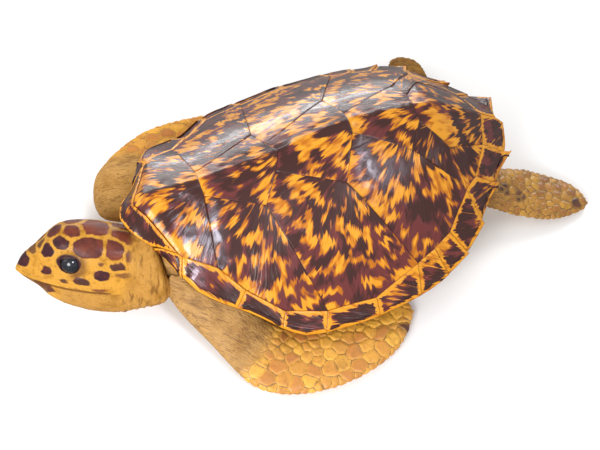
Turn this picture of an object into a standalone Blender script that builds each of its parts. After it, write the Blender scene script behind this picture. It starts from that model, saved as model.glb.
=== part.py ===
"""A mounted hawksbill sea turtle: horny shell scutes, skin body, head, glass eyes, neck, flippers and tail.

The head points to -Y, the tail to +Y, the turtle's left side is +X and +Z is up. The origin is the centre of
the belly plate's flat underside. Places on the shell are shares of the shell's length: "along" runs from 0 at
the front edge to 1 at the tail, and "across" is measured outward from the middle line.
"""
import math

import bmesh
import bpy
from mathutils import Euler, Vector

# ---- Driving dimensions, metres ----
SHELL_LENGTH = 0.450
SCUTE_THICKNESS = 0.0030
RIM_THICKNESS = 0.0045          # marginal scutes, just inside their outer edge
EDGE_THICKNESS = 0.0022         # marginal scutes, at their rounded outer edge
SEAM = 0.0007                   # open line between two scutes
SCUTE_OVERLAP = 0.0012          # height of a scute's rear edge over the next one's front edge
KEEL_HEIGHT = 0.0015
KEEL_WIDTH = 0.006
SKIN_UNDER_SCUTES = 0.0054      # from the shell's outer surface down to the body
BODY_INSET = 0.020              # from the shell's rim in to the body's side
FIT_GAP = 0.0004                # between pieces that touch
PLASTRON_THICKNESS = 0.012
EYE_RADIUS = 0.0125

# ---- Shell form, as (along, value) ----
OUTLINE = [(0, 0), (0.05, 0.089), (0.12, 0.217), (0.22, 0.273), (0.35, 0.357), (0.5, 0.369),
           (0.65, 0.355), (0.78, 0.303), (0.88, 0.198), (0.95, 0.112), (1, 0)]
RIM_HEIGHT = [(0, 0.114), (0.10, 0.090), (0.22, 0.055), (0.38, 0.030), (0.55, 0.035),
              (0.72, 0.048), (0.86, 0.073), (1, 0.078)]
CREST_HEIGHT = [(0, 0.114), (0.07, 0.141), (0.2, 0.139), (0.4, 0.151), (0.6, 0.169),
                (0.76, 0.162), (0.9, 0.116), (1, 0.078)]
DOME_SQUARENESS = 1.45          # 2 would be a round arch, 1 a roof
DOME_FALL = 1.06

# ---- Scute seams, as (across, along) on the left side ----
NUCHAL_REAR = (0, 0.042)
TAIL_NOTCH = (0, 0.975)
SUPRACAUDAL_EDGE = [(0.066, 0.980), (0.040, 0.989), (0.004, 1.0)]           # past the last rim seam
SUPRACAUDAL_EDGE_RIGHT = [(0.083, 1.006), (0.045, 0.994), (0.008, 0.982)]
VERTEBRAL_ENDS = [(0, 0.200), (0, 0.398), (0, 0.576), (0, 0.742), (0, 0.930)]
VERTEBRAL_CORNERS = [(0.035, 0.200), (0.042, 0.379), (0.030, 0.576), (0.041, 0.743)]
COSTAL_TOPS = [(0.100, 0.333), (0.121, 0.529), (0.097, 0.704), (0.104, 0.800)]
COSTAL_TOPS_RIGHT = [(0.100, 0.363), (0.121, 0.555), (0.097, 0.727), (0.104, 0.800)]
FIRST_COSTAL_FRONT = (0.181, 0.183)
INNER_LINE = [(0.132, 0.100), (0.143, 0.108), (0.234, 0.232), (0.299, 0.308), (0.325, 0.406),
              (0.334, 0.528), (0.300, 0.647), (0.283, 0.697), (0.260, 0.745), (0.189, 0.814),
              (0.156, 0.854), (0.080, 0.903)]
RIM_SEAMS = [0.047, 0.093, 0.199, 0.291, 0.391, 0.527, 0.638, 0.718, 0.778, 0.838, 0.911, 0.968]
LAST_RIM_SEAM_RIGHT = 0.952
RIM_TEETH = {8: 0.002, 9: 0.004, 10: 0.005, 11: 0.008}     # marginal number: length beyond the rim
RIM_TEETH_RIGHT = {8: 0.003, 9: 0.005, 10: 0.006}
ROWS_ACROSS_MARGINAL = (0.0, 0.5, 0.85, 1.0)

# ---- Body sections, as (y, side, bottom half width, bottom height) ----
BODY_SECTIONS = [(-0.196, 0.058, 0.034, 0.030), (-0.184, 0.066, 0.042, 0.024), (-0.165, 0.085, 0.052, 0.0125),
                 (-0.135, 0.095, 0.078, 0.0125), (-0.10, None, 0.094, 0.0125), (-0.06, None, 0.104, 0.0125),
                 (-0.02, None, 0.110, 0.0125), (0.02, None, 0.112, 0.0125), (0.06, None, 0.106, 0.0125),
                 (0.10, None, 0.092, 0.0125), (0.135, None, 0.072, 0.0125), (0.165, None, 0.050, 0.0125),
                 (0.184, None, 0.036, 0.028), (0.1955, None, 0.026, 0.046)]
TOP_DIVISIONS = 12
PLASTRON_HALF_WIDTHS = [(-0.165, 0.030), (-0.15, 0.056), (-0.10, 0.084), (-0.04, 0.099), (0.04, 0.104),
                        (0.10, 0.085), (0.15, 0.055), (0.18, 0.026)]
PLASTRON_BEVEL = 0.005

# ---- Flippers, as (lead x, lead y, inner x, inner y, centre height, thickness) from root to tip ----
FRONT_LEFT = [(0.064, -0.202, 0.060, -0.120, 0.058, 0.040), (0.091, -0.195, 0.092, -0.118, 0.050, 0.038),
              (0.130, -0.1755, 0.118, -0.112, 0.038, 0.032), (0.162, -0.160, 0.126, -0.104, 0.027, 0.026),
              (0.192, -0.142, 0.132, -0.092, 0.019, 0.022), (0.211, -0.110, 0.134, -0.072, 0.014, 0.019),
              (0.219, -0.064, 0.136, -0.045, 0.0115, 0.016), (0.213, -0.017, 0.138, -0.015, 0.010, 0.014),
              (0.199, 0.018, 0.137, 0.015, 0.009, 0.012), (0.180, 0.040, 0.138, 0.035, 0.0075, 0.0095),
              (0.161, 0.054, 0.146, 0.052, 0.006, 0.006)]
FRONT_RIGHT = [(-0.034, -0.214, -0.048, -0.120, 0.054, 0.038), (-0.051, -0.241, -0.072, -0.130, 0.050, 0.038),
               (-0.096, -0.235, -0.088, -0.140, 0.046, 0.036), (-0.122, -0.217, -0.094, -0.136, 0.038, 0.032),
               (-0.148, -0.185, -0.098, -0.125, 0.029, 0.027), (-0.166, -0.149, -0.100, -0.108, 0.021, 0.022),
               (-0.171, -0.110, -0.104, -0.085, 0.015, 0.018), (-0.168, -0.070, -0.110, -0.055, 0.012, 0.015),
               (-0.155, -0.030, -0.113, -0.025, 0.010, 0.013), (-0.142, 0.000, -0.116, 0.000, 0.008, 0.010),
               (-0.130, 0.018, -0.120, 0.018, 0.006, 0.006)]
HIND_LEFT = [(0.020, 0.150, 0.063, 0.138, 0.045, 0.030), (0.030, 0.195, 0.076, 0.176, 0.036, 0.026),
             (0.036, 0.232, 0.0865, 0.198, 0.026, 0.022), (0.040, 0.250, 0.0945, 0.219, 0.018, 0.018),
             (0.050, 0.268, 0.102, 0.239, 0.013, 0.015), (0.0635, 0.286, 0.1055, 0.259, 0.0105, 0.012),
             (0.081, 0.2965, 0.1035, 0.278, 0.008, 0.009), (0.094, 0.298, 0.101, 0.289, 0.0065, 0.006)]
HIND_RIGHT = [(-0.040, 0.160, -0.060, 0.120, 0.045, 0.030), (-0.075, 0.172, -0.088, 0.132, 0.036, 0.026),
              (-0.106, 0.183, -0.118, 0.141, 0.0275, 0.022), (-0.130, 0.188, -0.145, 0.148, 0.021, 0.018),
              (-0.149, 0.189, -0.163, 0.153, 0.016, 0.014), (-0.162, 0.186, -0.172, 0.161, 0.012, 0.010),
              (-0.171, 0.178, -0.175, 0.170, 0.008, 0.006)]
BLADE_SIDES = 12                # points round a flipper's section

# ---- Head, in its own frame with the snout toward -Y ----
HEAD_PLACE = (0.0275, -0.2303, 0.0556)          # centre of the head's back face
HEAD_TURN = (math.radians(-6.5), math.radians(-25), math.radians(-19))     # pitch, roll, yaw
HEAD_LENGTH = 0.120
# Sections, as (distance behind the tip of the beak, centre height, half width, half height)
HEAD_STATIONS = [(0.000, -0.0070, 0.0025, 0.0055), (0.009, -0.0015, 0.0105, 0.0170),
                 (0.024, 0.0015, 0.0180, 0.0280), (0.040, 0.0060, 0.0250, 0.0425),
                 (0.058, 0.0050, 0.0305, 0.0490), (0.078, 0.0030, 0.0340, 0.0515),
                 (0.096, 0.0010, 0.0350, 0.0515), (0.120, -0.0007, 0.0345, 0.0497)]
HEAD_SQUARENESS = 2.4
HEAD_SIDES = 22
EYE_PLACE = (0.0215, -0.060, 0.020)

# ---- Neck, as (y, centre x, centre height, half width, half height), and tail ----
NECK_SECTIONS = [(-0.1965, 0.012, 0.061, 0.061, 0.038), (-0.212, 0.020, 0.059, 0.059, 0.044)]
TAIL_ROOT = (0.0, 0.1960, 0.060)
TAIL_TIP = (0.0, 0.222, 0.054)
TAIL_RADII = (0.008, 0.003)
TAIL_SIDES = 10

# ---- Colours: linear red, green, blue; roughness ----
SCUTE_COLOUR = ((0.36, 0.13, 0.035), 0.18)
RIM_COLOUR = ((0.55, 0.24, 0.05), 0.20)
SKIN_COLOUR = ((0.48, 0.32, 0.13), 0.50)
HEAD_COLOUR = ((0.50, 0.27, 0.08), 0.40)
FLIPPER_COLOUR = ((0.45, 0.26, 0.09), 0.45)
BELLY_COLOUR = ((0.70, 0.52, 0.26), 0.45)
EYE_COLOUR = ((0.01, 0.01, 0.012), 0.05)


class Profile:
    """A smooth curve through (place, value) points that never overshoots them."""

    def __init__(self, points):
        self.places = [p for p, _ in points]
        self.values = [v for _, v in points]
        steps = [b - a for a, b in zip(self.places, self.places[1:])]
        rises = [(b - a) / h for a, b, h in zip(self.values, self.values[1:], steps)]
        middle = [self.middle_slope(*pair) for pair in zip(rises, rises[1:], steps, steps[1:])]
        self.slopes = [rises[0], *middle, rises[-1]]

    @staticmethod
    def middle_slope(before, after, step_before, step_after):
        if before * after <= 0:
            return 0.0
        near = 2 * step_after + step_before
        far = step_after + 2 * step_before
        return (near + far) / (near / before + far / after)

    def at(self, place):
        place = min(max(place, self.places[0]), self.places[-1])
        i = max(k for k in range(len(self.places) - 1) if self.places[k] <= place)
        step = self.places[i + 1] - self.places[i]
        t = (place - self.places[i]) / step
        low, high = self.values[i], self.values[i + 1]
        bend = t * (1 - t) * step * (self.slopes[i] * (1 - t) - self.slopes[i + 1] * t)
        return low + (high - low) * t * t * (3 - 2 * t) + bend


outline_square = Profile([(along, across * across) for along, across in OUTLINE])
rim_height = Profile(RIM_HEIGHT)
crest_height = Profile(CREST_HEIGHT)


def half_width(along):
    return SHELL_LENGTH * math.sqrt(max(outline_square.at(along), 0.0))


def dome_height(x, y):
    """Height of the shell's outer surface over a point in plan."""
    along = y / SHELL_LENGTH + 0.5
    out = min(abs(x) / max(half_width(along), 1e-6), 1.0)
    rim = rim_height.at(along)
    keel = KEEL_HEIGHT * math.exp(-(x / KEEL_WIDTH) ** 2) * min(1.0, along * 12)
    return rim + (crest_height.at(along) - rim + keel) * (1 - out ** DOME_SQUARENESS) ** DOME_FALL


def dome_normal(x, y):
    """Outward direction of the shell's surface, read a little inside the rim."""
    step = 0.004
    along = min(max(y / SHELL_LENGTH + 0.5, 0.03), 0.97)
    limit = max(0.93 * half_width(along) - step, step)
    x = min(max(x, -limit), limit)
    y = (along - 0.5) * SHELL_LENGTH
    slope_x = (dome_height(x + step, y) - dome_height(x - step, y)) / (2 * step)
    slope_y = (dome_height(x, y + step) - dome_height(x, y - step)) / (2 * step)
    return Vector((-slope_x, -slope_y, 1)).normalized()


def new_object(name, bm, colour, smooth_angle=35):
    """Turn a bmesh into a named object with its own material."""
    bmesh.ops.recalc_face_normals(bm, faces=bm.faces)
    bmesh.ops.triangulate(bm, faces=bm.faces)
    mesh = bpy.data.meshes.new(name)
    bm.to_mesh(mesh)
    bm.free()
    mesh.shade_smooth()
    mesh.set_sharp_from_angle(angle=math.radians(smooth_angle))
    obj = bpy.data.objects.new(name, mesh)
    bpy.context.scene.collection.objects.link(obj)
    material = bpy.data.materials.new(name)
    material.use_nodes = True
    shader = material.node_tree.nodes["Principled BSDF"]
    shader.inputs["Base Color"].default_value = (*colour[0], 1)
    shader.inputs["Roughness"].default_value = colour[1]
    shader.inputs["Metallic"].default_value = 0.0
    mesh.materials.append(material)
    return obj


def loft(bm, rings):
    """Closed skin over rings of equal point counts, with flat ends."""
    rows = [[bm.verts.new(p) for p in ring] for ring in rings]
    for near, far in zip(rows, rows[1:]):
        for k in range(len(near)):
            after = (k + 1) % len(near)
            bm.faces.new((near[k], near[after], far[after], far[k]))
    bm.faces.new(reversed(rows[0]))
    bm.faces.new(rows[-1])


# ---- Shell scutes ----

def plan(side, place):
    """A point in plan, in metres, from its shares across and along."""
    across, along = place
    return Vector((side * across * SHELL_LENGTH, (along - 0.5) * SHELL_LENGTH))


def divide(points, counts):
    """Points along straight seams, each seam split into its count of equal parts."""
    line = [points[0]]
    for start, end, count in zip(points, points[1:], counts):
        line += [start.lerp(end, k / count) for k in range(1, count + 1)]
    return line


def rim_line(side, start, end, count):
    """Points along the rim between two seams."""
    shares = [start + (end - start) * k / count for k in range(count + 1)]
    return [Vector((side * half_width(s), (s - 0.5) * SHELL_LENGTH)) for s in shares]


def patch(front, rear, first, last):
    """Grid of plan points between four edges, rows from front to rear."""
    columns, rows = len(front) - 1, len(first) - 1
    grid = []
    for j in range(rows + 1):
        v = j / rows
        row = []
        for i in range(columns + 1):
            u = i / columns
            ruled = front[i].lerp(rear[i], v) + first[j].lerp(last[j], u)
            corners = front[0].lerp(front[-1], u).lerp(rear[0].lerp(rear[-1], u), v)
            row.append(ruled - corners)
        grid.append(row)
    return grid


def step_in(grid, distance):
    """The grid with its four edges moved square inward, for half of the open seam."""
    rows, columns = len(grid), len(grid[0])
    moved = [list(row) for row in grid]
    for i, inside in ((0, 1), (columns - 1, columns - 2)):
        shifts = edge_shifts([row[i] for row in grid], [row[inside] for row in grid])
        for j, shift in enumerate(shifts):
            moved[j][i] = moved[j][i] + shift * distance
    for j, inside in ((0, 1), (rows - 1, rows - 2)):
        for i, shift in enumerate(edge_shifts(grid[j], grid[inside])):
            moved[j][i] = moved[j][i] + shift * distance
    return moved


def edge_shifts(edge, inside):
    """For each point of an edge, the shift that moves the edge inward by one unit."""
    tangents, lengths = [], []
    for k, point in enumerate(edge):
        before = (point - edge[max(k - 1, 0)]).normalized()
        after = (edge[min(k + 1, len(edge) - 1)] - point).normalized()
        tangents.append((before + after).normalized())
        lengths.append(1 / max(tangents[-1].dot(after), tangents[-1].dot(before), 0.4))
    turn = sum(t.x * (q.y - p.y) - t.y * (q.x - p.x) for t, p, q in zip(tangents, edge, inside))
    hand = math.copysign(1, turn)
    return [Vector((-t.y, t.x)) * hand * length for t, length in zip(tangents, lengths)]


def scute(name, grid, colour, thickness=None):
    """A scute from its plan grid: outer face on the dome, rear edge raised, inner face below it.

    thickness lists the thickness at each column of a marginal scute, from its inner to its outer edge.
    """
    bm = bmesh.new()
    outer, inner = [], []
    rows = len(grid) - 1
    for j, row in enumerate(step_in(grid, SEAM / 2)):
        lift = SCUTE_OVERLAP * (j / rows) ** 2
        outer.append([])
        inner.append([])
        for i, (x, y) in enumerate(row):
            surface = Vector((x, y, dome_height(x, y)))
            normal = dome_normal(x, y)
            depth = thickness[i] if thickness else SCUTE_THICKNESS
            sink = (RIM_THICKNESS - depth) / 2 if thickness and depth < SCUTE_THICKNESS else 0.0
            outer[-1].append(bm.verts.new(surface + normal * (lift - sink)))
            inner[-1].append(bm.verts.new(surface - normal * (depth + sink)))
    for j in range(rows):
        for i in range(len(grid[0]) - 1):
            bm.faces.new((outer[j][i], outer[j][i + 1], outer[j + 1][i + 1], outer[j + 1][i]))
            bm.faces.new((inner[j][i], inner[j + 1][i], inner[j + 1][i + 1], inner[j][i + 1]))
    for edge in (0, -1):
        for j in range(rows):
            bm.faces.new((outer[j][edge], outer[j + 1][edge], inner[j + 1][edge], inner[j][edge]))
        for i in range(len(grid[0]) - 1):
            bm.faces.new((outer[edge][i], outer[edge][i + 1], inner[edge][i + 1], inner[edge][i]))
    return new_object(name, bm, colour)


def both_sides(place, count):
    """A seam across the middle line: right corner, middle, left corner, count parts on each side."""
    corner, middle = place
    return divide([plan(-1, corner), plan(1, middle), plan(1, corner)], [count, count])


def costal_tops(side):
    return COSTAL_TOPS if side > 0 else COSTAL_TOPS_RIGHT


def vertebral_sides(first, last, *middle, side, counts):
    points = [plan(side, first)] + [plan(side, m) for m in middle] + [plan(side, last)]
    return divide(points, counts)


def nuchal_scute():
    front = rim_line(-1, RIM_SEAMS[0], 0, 4) + rim_line(1, 0, RIM_SEAMS[0], 4)[1:]
    rear = both_sides((INNER_LINE[0], NUCHAL_REAR), 4)
    sides = [divide([edge[0], edge[1]], [2]) for edge in ((front[0], rear[0]), (front[-1], rear[-1]))]
    scute("nuchal_scute", patch(front, rear, *sides), RIM_COLOUR)


def vertebral_scutes():
    corner, second = VERTEBRAL_CORNERS[0], INNER_LINE[1]
    left_front = [plan(1, NUCHAL_REAR), plan(1, INNER_LINE[0]), plan(1, second), plan(1, FIRST_COSTAL_FRONT)]
    right_front = [Vector((-p.x, p.y)) for p in reversed(left_front[1:])]
    front = divide(right_front + left_front, [1, 1, 3, 3, 1, 1])
    rear = both_sides((corner, VERTEBRAL_ENDS[0]), 5)
    sides = [divide([plan(s, FIRST_COSTAL_FRONT), plan(s, corner)], [6]) for s in (-1, 1)]
    scute("vertebral_scute_1", patch(front, rear, *sides), SCUTE_COLOUR)
    for k in range(3):
        start, end = VERTEBRAL_CORNERS[k], VERTEBRAL_CORNERS[k + 1]
        front = both_sides((start, VERTEBRAL_ENDS[k]), 4)
        rear = both_sides((end, VERTEBRAL_ENDS[k + 1]), 4)
        sides = [vertebral_sides(start, end, costal_tops(s)[k], side=s, counts=[3, 3]) for s in (-1, 1)]
        scute(f"vertebral_scute_{k + 2}", patch(front, rear, *sides), SCUTE_COLOUR)
    start, end = VERTEBRAL_CORNERS[3], INNER_LINE[11]
    front = both_sides((start, VERTEBRAL_ENDS[3]), 4)
    rear = both_sides((end, VERTEBRAL_ENDS[4]), 4)
    sides = [vertebral_sides(start, end, COSTAL_TOPS[3], side=s, counts=[3, 3]) for s in (-1, 1)]
    scute("vertebral_scute_5", patch(front, rear, *sides), SCUTE_COLOUR)


def costal_scutes(side, label):
    """Four costal scutes; each grid's columns run from the middle line outward."""
    tops = [plan(side, p) for p in costal_tops(side)]
    corners = [plan(side, p) for p in VERTEBRAL_CORNERS]
    inner = [plan(side, p) for p in INNER_LINE]
    start = plan(side, FIRST_COSTAL_FRONT)
    edges = [
        ([corners[0], start], [tops[0], inner[4]], [corners[0], tops[0]], [8],
         [start, inner[2], inner[3], inner[4]], [2, 3, 3]),
        ([tops[0], inner[4]], [tops[1], inner[6]], [tops[0], corners[1], tops[1]], [3, 5],
         [inner[4], inner[5], inner[6]], [4, 4]),
        ([tops[1], inner[6]], [tops[2], inner[9]], [tops[1], corners[2], tops[2]], [3, 5],
         [inner[6], inner[7], inner[8], inner[9]], [3, 3, 2]),
        ([tops[2], inner[9]], [corners[3], tops[3], inner[11]], [tops[2], corners[3]], [8],
         [inner[9], inner[10], inner[11]], [3, 5]),
    ]
    for number, (front, rear, top, top_counts, bottom, bottom_counts) in enumerate(edges, 1):
        rear_counts = [6] if len(rear) == 2 else [3, 3]
        grid = patch(divide(front, [6]), divide(rear, rear_counts), divide(top, top_counts),
                     divide(bottom, bottom_counts))
        scute(f"costal_scute_{label}_{number}", grid, SCUTE_COLOUR)


def marginal_thickness():
    return (SCUTE_THICKNESS, 0.5 * (SCUTE_THICKNESS + RIM_THICKNESS), RIM_THICKNESS, EDGE_THICKNESS)


def marginal_scutes(side, label):
    inner = [plan(side, p) for p in INNER_LINE]
    seams = RIM_SEAMS if side > 0 else RIM_SEAMS[:-1] + [LAST_RIM_SEAM_RIGHT]
    for number in range(1, 12):
        rows = 4
        inside = [inner[number - 1], inner[number]]
        counts = [rows]
        if number == 2:
            inside.insert(1, plan(side, FIRST_COSTAL_FRONT))
            counts = [2, 2]
        near = divide(inside, counts)
        far = rim_line(side, seams[number - 1], seams[number], rows)
        tooth = (RIM_TEETH if side > 0 else RIM_TEETH_RIGHT).get(number, 0.0)
        outward = (far[-1] - near[-1]).normalized()
        far = [p + outward * tooth * (j / rows) ** 2 for j, p in enumerate(far)]
        grid = [[a.lerp(b, share) for share in ROWS_ACROSS_MARGINAL] for a, b in zip(near, far)]
        scute(f"marginal_scute_{label}_{number}", grid, RIM_COLOUR, marginal_thickness())


def supracaudal_scute(side, label):
    """One of the two rearmost rim scutes, with its tip beside the notch over the tail."""
    near = divide([plan(side, INNER_LINE[11]), plan(side, VERTEBRAL_ENDS[4])], [3])
    seam = RIM_SEAMS[-1] if side > 0 else LAST_RIM_SEAM_RIGHT
    far = [Vector((side * half_width(seam), (seam - 0.5) * SHELL_LENGTH))]
    far += [plan(side, p) for p in (SUPRACAUDAL_EDGE if side > 0 else SUPRACAUDAL_EDGE_RIGHT)]
    grid = [[a.lerp(b, share) for share in ROWS_ACROSS_MARGINAL] for a, b in zip(near, far)]
    grid[-1][2] = plan(side, TAIL_NOTCH)
    grid[-1][1] = near[-1].lerp(plan(side, TAIL_NOTCH), 0.5)
    scute(f"supracaudal_scute_{label}", grid, RIM_COLOUR, marginal_thickness())


# ---- Body and belly plate ----

def body_mesh(grow=0.0):
    """Skin body under the shell; grow makes the larger copy that the limbs are cut by."""
    rings = []
    for y, side, bottom, low in BODY_SECTIONS:
        along = y / SHELL_LENGTH + 0.5
        if side is None:
            side = half_width(along) - BODY_INSET
        ring = []
        for k in range(TOP_DIVISIONS + 1):
            x = side * math.sin(math.pi * (k / TOP_DIVISIONS - 0.5))
            drop = SKIN_UNDER_SCUTES / max(dome_normal(x, y).z, 0.55)
            ring.append(Vector((x, y, dome_height(x, y) - drop)))
        edge = ring[-1].z
        wall = [(0.985, 0.62), (0.93, 0.30)]
        for share, level in wall:
            ring.append(Vector((bottom + (side - bottom) * share, y, low + (edge - low) * level)))
        ring += [Vector((bottom * share, y, low)) for share in (1, 0.5, 0, -0.5, -1)]
        for share, level in reversed(wall):
            ring.append(Vector((-bottom - (side - bottom) * share, y, low + (edge - low) * level)))
        rings.append(ring)
    bm = bmesh.new()
    loft(bm, rings)
    bmesh.ops.recalc_face_normals(bm, faces=bm.faces)
    bmesh.ops.triangulate(bm, faces=bm.faces)
    if grow:
        bm.normal_update()
        for vert in bm.verts:
            vert.co += vert.normal * grow * vert.calc_shell_factor()
    return bm


def body():
    new_object("body", body_mesh(), SKIN_COLOUR)
    return make_cutter("body_cutter", body_mesh(FIT_GAP))


def plastron():
    """Belly plate with a flat underside and bevelled edges."""
    rings = []
    for y, half in PLASTRON_HALF_WIDTHS:
        foot = half - PLASTRON_BEVEL
        rings.append([Vector((-half, y, PLASTRON_BEVEL)), Vector((-foot, y, 0)), Vector((0, y, 0)),
                      Vector((foot, y, 0)), Vector((half, y, PLASTRON_BEVEL)),
                      Vector((half - 0.002, y, PLASTRON_THICKNESS)), Vector((0, y, PLASTRON_THICKNESS)),
                      Vector((0.002 - half, y, PLASTRON_THICKNESS))])
    bm = bmesh.new()
    loft(bm, rings)
    new_object("plastron", bm, BELLY_COLOUR)


# ---- Limbs ----

def flipper(name, ribs, cutters):
    """A flat limb over lens-shaped ribs, cut away where it enters the body and the neck."""
    rings = []
    for lead_x, lead_y, inner_x, inner_y, height, thickness in ribs:
        lead, inner = Vector((lead_x, lead_y, height)), Vector((inner_x, inner_y, height))
        middle, reach = (lead + inner) / 2, (lead - inner) / 2
        ring = []
        for k in range(BLADE_SIDES):
            angle = 2 * math.pi * k / BLADE_SIDES
            thick = math.sin(angle) * (1 + 0.25 * math.cos(angle))
            ring.append(middle + reach * math.cos(angle) + Vector((0, 0, thickness / 2 * thick)))
        rings.append(ring)
    bm = bmesh.new()
    loft(bm, rings)
    obj = new_object(name, bm, FLIPPER_COLOUR)
    for cutter in cutters:
        cut(obj, cutter)


def make_cutter(name, bm):
    cutter = new_object(name, bm, SKIN_COLOUR)
    cutter.hide_render = True
    cutter.display_type = "WIRE"
    return cutter


def cut(obj, cutter):
    modifier = obj.modifiers.new(f"cut by {cutter.name}", "BOOLEAN")
    modifier.operation = "DIFFERENCE"
    modifier.solver = "EXACT"
    modifier.object = cutter


# ---- Head, eyes, neck and tail ----

def head_point(x, y, z):
    return Euler(HEAD_TURN, "YXZ").to_matrix() @ Vector((x, y, z)) + Vector(HEAD_PLACE)


def head_ring(back, height, half_wide, half_high):
    """Rounded section of the head; back is its distance behind the tip of the beak."""
    ring = []
    for k in range(HEAD_SIDES):
        angle = 2 * math.pi * k / HEAD_SIDES
        across, up = math.cos(angle), math.sin(angle)
        x = half_wide * math.copysign(abs(across) ** (2 / HEAD_SQUARENESS), across)
        z = height + half_high * math.copysign(abs(up) ** (2 / HEAD_SQUARENESS), up)
        ring.append(head_point(x, back - HEAD_LENGTH, z))
    return ring


def ball(side, radius):
    bm = bmesh.new()
    bmesh.ops.create_uvsphere(bm, u_segments=14, v_segments=9, radius=radius)
    x, y, z = EYE_PLACE
    bmesh.ops.translate(bm, verts=bm.verts, vec=head_point(side * x, y, z))
    return bm


def head():
    bm = bmesh.new()
    loft(bm, [head_ring(*station) for station in HEAD_STATIONS])
    skull = new_object("head", bm, HEAD_COLOUR)
    for side, label in ((1, "left"), (-1, "right")):
        new_object(f"eye_{label}", ball(side, EYE_RADIUS), EYE_COLOUR)
        cut(skull, make_cutter(f"socket_{label}", ball(side, EYE_RADIUS + FIT_GAP)))


def neck_mesh(grow=0.0):
    """Skin between the body's front and the head's back face; grow makes the copy that cuts the shoulders."""
    rings = []
    for y, x, z, half_wide, half_high in NECK_SECTIONS:
        ring = []
        for k in range(HEAD_SIDES):
            angle = 2 * math.pi * k / HEAD_SIDES
            out, up = (half_wide + grow) * math.cos(angle), (half_high + grow) * math.sin(angle)
            ring.append(Vector((x + out, y, z + up)))
        rings.append(ring)
    back, height, half_wide, half_high = HEAD_STATIONS[-1]
    rings.append(head_ring(back + FIT_GAP, height, half_wide + grow - 0.001, half_high + grow - 0.001))
    bm = bmesh.new()
    loft(bm, rings)
    return bm


def neck():
    new_object("neck", neck_mesh(), SKIN_COLOUR)
    return make_cutter("neck_cutter", neck_mesh(FIT_GAP))


def tail():
    start, end = Vector(TAIL_ROOT), Vector(TAIL_TIP)
    thick, thin = TAIL_RADII
    angles = [2 * math.pi * k / TAIL_SIDES for k in range(TAIL_SIDES)]
    rings = []
    for share, radius in ((0, thick), (0.6, 0.8 * thick), (1, thin)):
        centre = start.lerp(end, share)
        rings.append([centre + Vector((radius * math.cos(a), 0, radius * math.sin(a))) for a in angles])
    bm = bmesh.new()
    loft(bm, rings)
    new_object("tail", bm, SKIN_COLOUR)


def main():
    for obj in list(bpy.data.objects):
        bpy.data.objects.remove(obj)
    nuchal_scute()
    vertebral_scutes()
    for side, label in ((1, "left"), (-1, "right")):
        costal_scutes(side, label)
        marginal_scutes(side, label)
        supracaudal_scute(side, label)
    body_cutter = body()
    plastron()
    head()
    neck_cutter = neck()
    flipper("front_flipper_left", FRONT_LEFT, [body_cutter, neck_cutter])
    flipper("front_flipper_right", FRONT_RIGHT, [body_cutter, neck_cutter])
    flipper("hind_flipper_left", HIND_LEFT, [body_cutter])
    flipper("hind_flipper_right", HIND_RIGHT, [body_cutter])
    tail()


main()
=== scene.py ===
"""Looks of a mounted hawksbill turtle: varnished scutes, scaly head and flippers, glass eyes."""
import math
import random

import bpy
import numpy as np
from bpy.props import FloatProperty, FloatVectorProperty, IntProperty, PointerProperty
from mathutils import Euler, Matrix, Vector, noise
from mathutils.kdtree import KDTree


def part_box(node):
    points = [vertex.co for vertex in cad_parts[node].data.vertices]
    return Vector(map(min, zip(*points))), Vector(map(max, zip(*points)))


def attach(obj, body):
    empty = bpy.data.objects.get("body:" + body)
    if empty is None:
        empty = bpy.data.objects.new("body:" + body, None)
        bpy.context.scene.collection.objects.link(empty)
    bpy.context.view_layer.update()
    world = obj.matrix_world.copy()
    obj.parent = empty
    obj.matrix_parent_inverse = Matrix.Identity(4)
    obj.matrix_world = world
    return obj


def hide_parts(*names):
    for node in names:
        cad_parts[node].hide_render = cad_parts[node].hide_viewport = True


bl_info = {
    "name": "Mounted hawksbill turtle",
    "version": (1, 0),
    "blender": (4, 5, 0),
    "location": "3D View > Sidebar > Turtle",
    "description": "Dresses a hawksbill turtle: shell scutes, skin, head, flippers and eyes",
    "category": "Object",
}

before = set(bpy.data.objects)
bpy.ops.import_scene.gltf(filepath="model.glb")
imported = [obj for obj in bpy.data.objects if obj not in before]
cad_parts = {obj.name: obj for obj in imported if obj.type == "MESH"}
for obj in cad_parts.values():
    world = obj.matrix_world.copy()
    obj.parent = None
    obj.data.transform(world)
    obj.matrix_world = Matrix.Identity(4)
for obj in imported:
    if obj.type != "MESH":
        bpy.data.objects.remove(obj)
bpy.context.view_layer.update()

# ---- The shell's form, as in the solids: shares of the shell's length, and heights in metres ----
SHELL_LENGTH = 0.450
OUTLINE = [(0, 0), (0.05, 0.089), (0.12, 0.217), (0.22, 0.273), (0.35, 0.357), (0.5, 0.369),
           (0.65, 0.355), (0.78, 0.303), (0.88, 0.198), (0.95, 0.112), (1, 0)]
RIM_HEIGHT = [(0, 0.114), (0.10, 0.090), (0.22, 0.055), (0.38, 0.030), (0.55, 0.035),
              (0.72, 0.048), (0.86, 0.073), (1, 0.078)]
CREST_HEIGHT = [(0, 0.114), (0.07, 0.141), (0.2, 0.139), (0.4, 0.151), (0.6, 0.169),
                (0.76, 0.162), (0.9, 0.116), (1, 0.078)]
DOME_SQUARENESS = 1.45
DOME_FALL = 1.06
CREST_ROUNDING = [(0, 0.008), (0.30, 0.008), (0.45, 0.003), (1, 0.003)]
KEEL_HEIGHT = 0.0015
KEEL_WIDTH = 0.006
CREST_FADE = 0.045              # how far from the midline the rounding of the crest dies out
FIT_LIMIT = 0.0025              # how far a scute's faceted top may lie off the smooth dome

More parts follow.
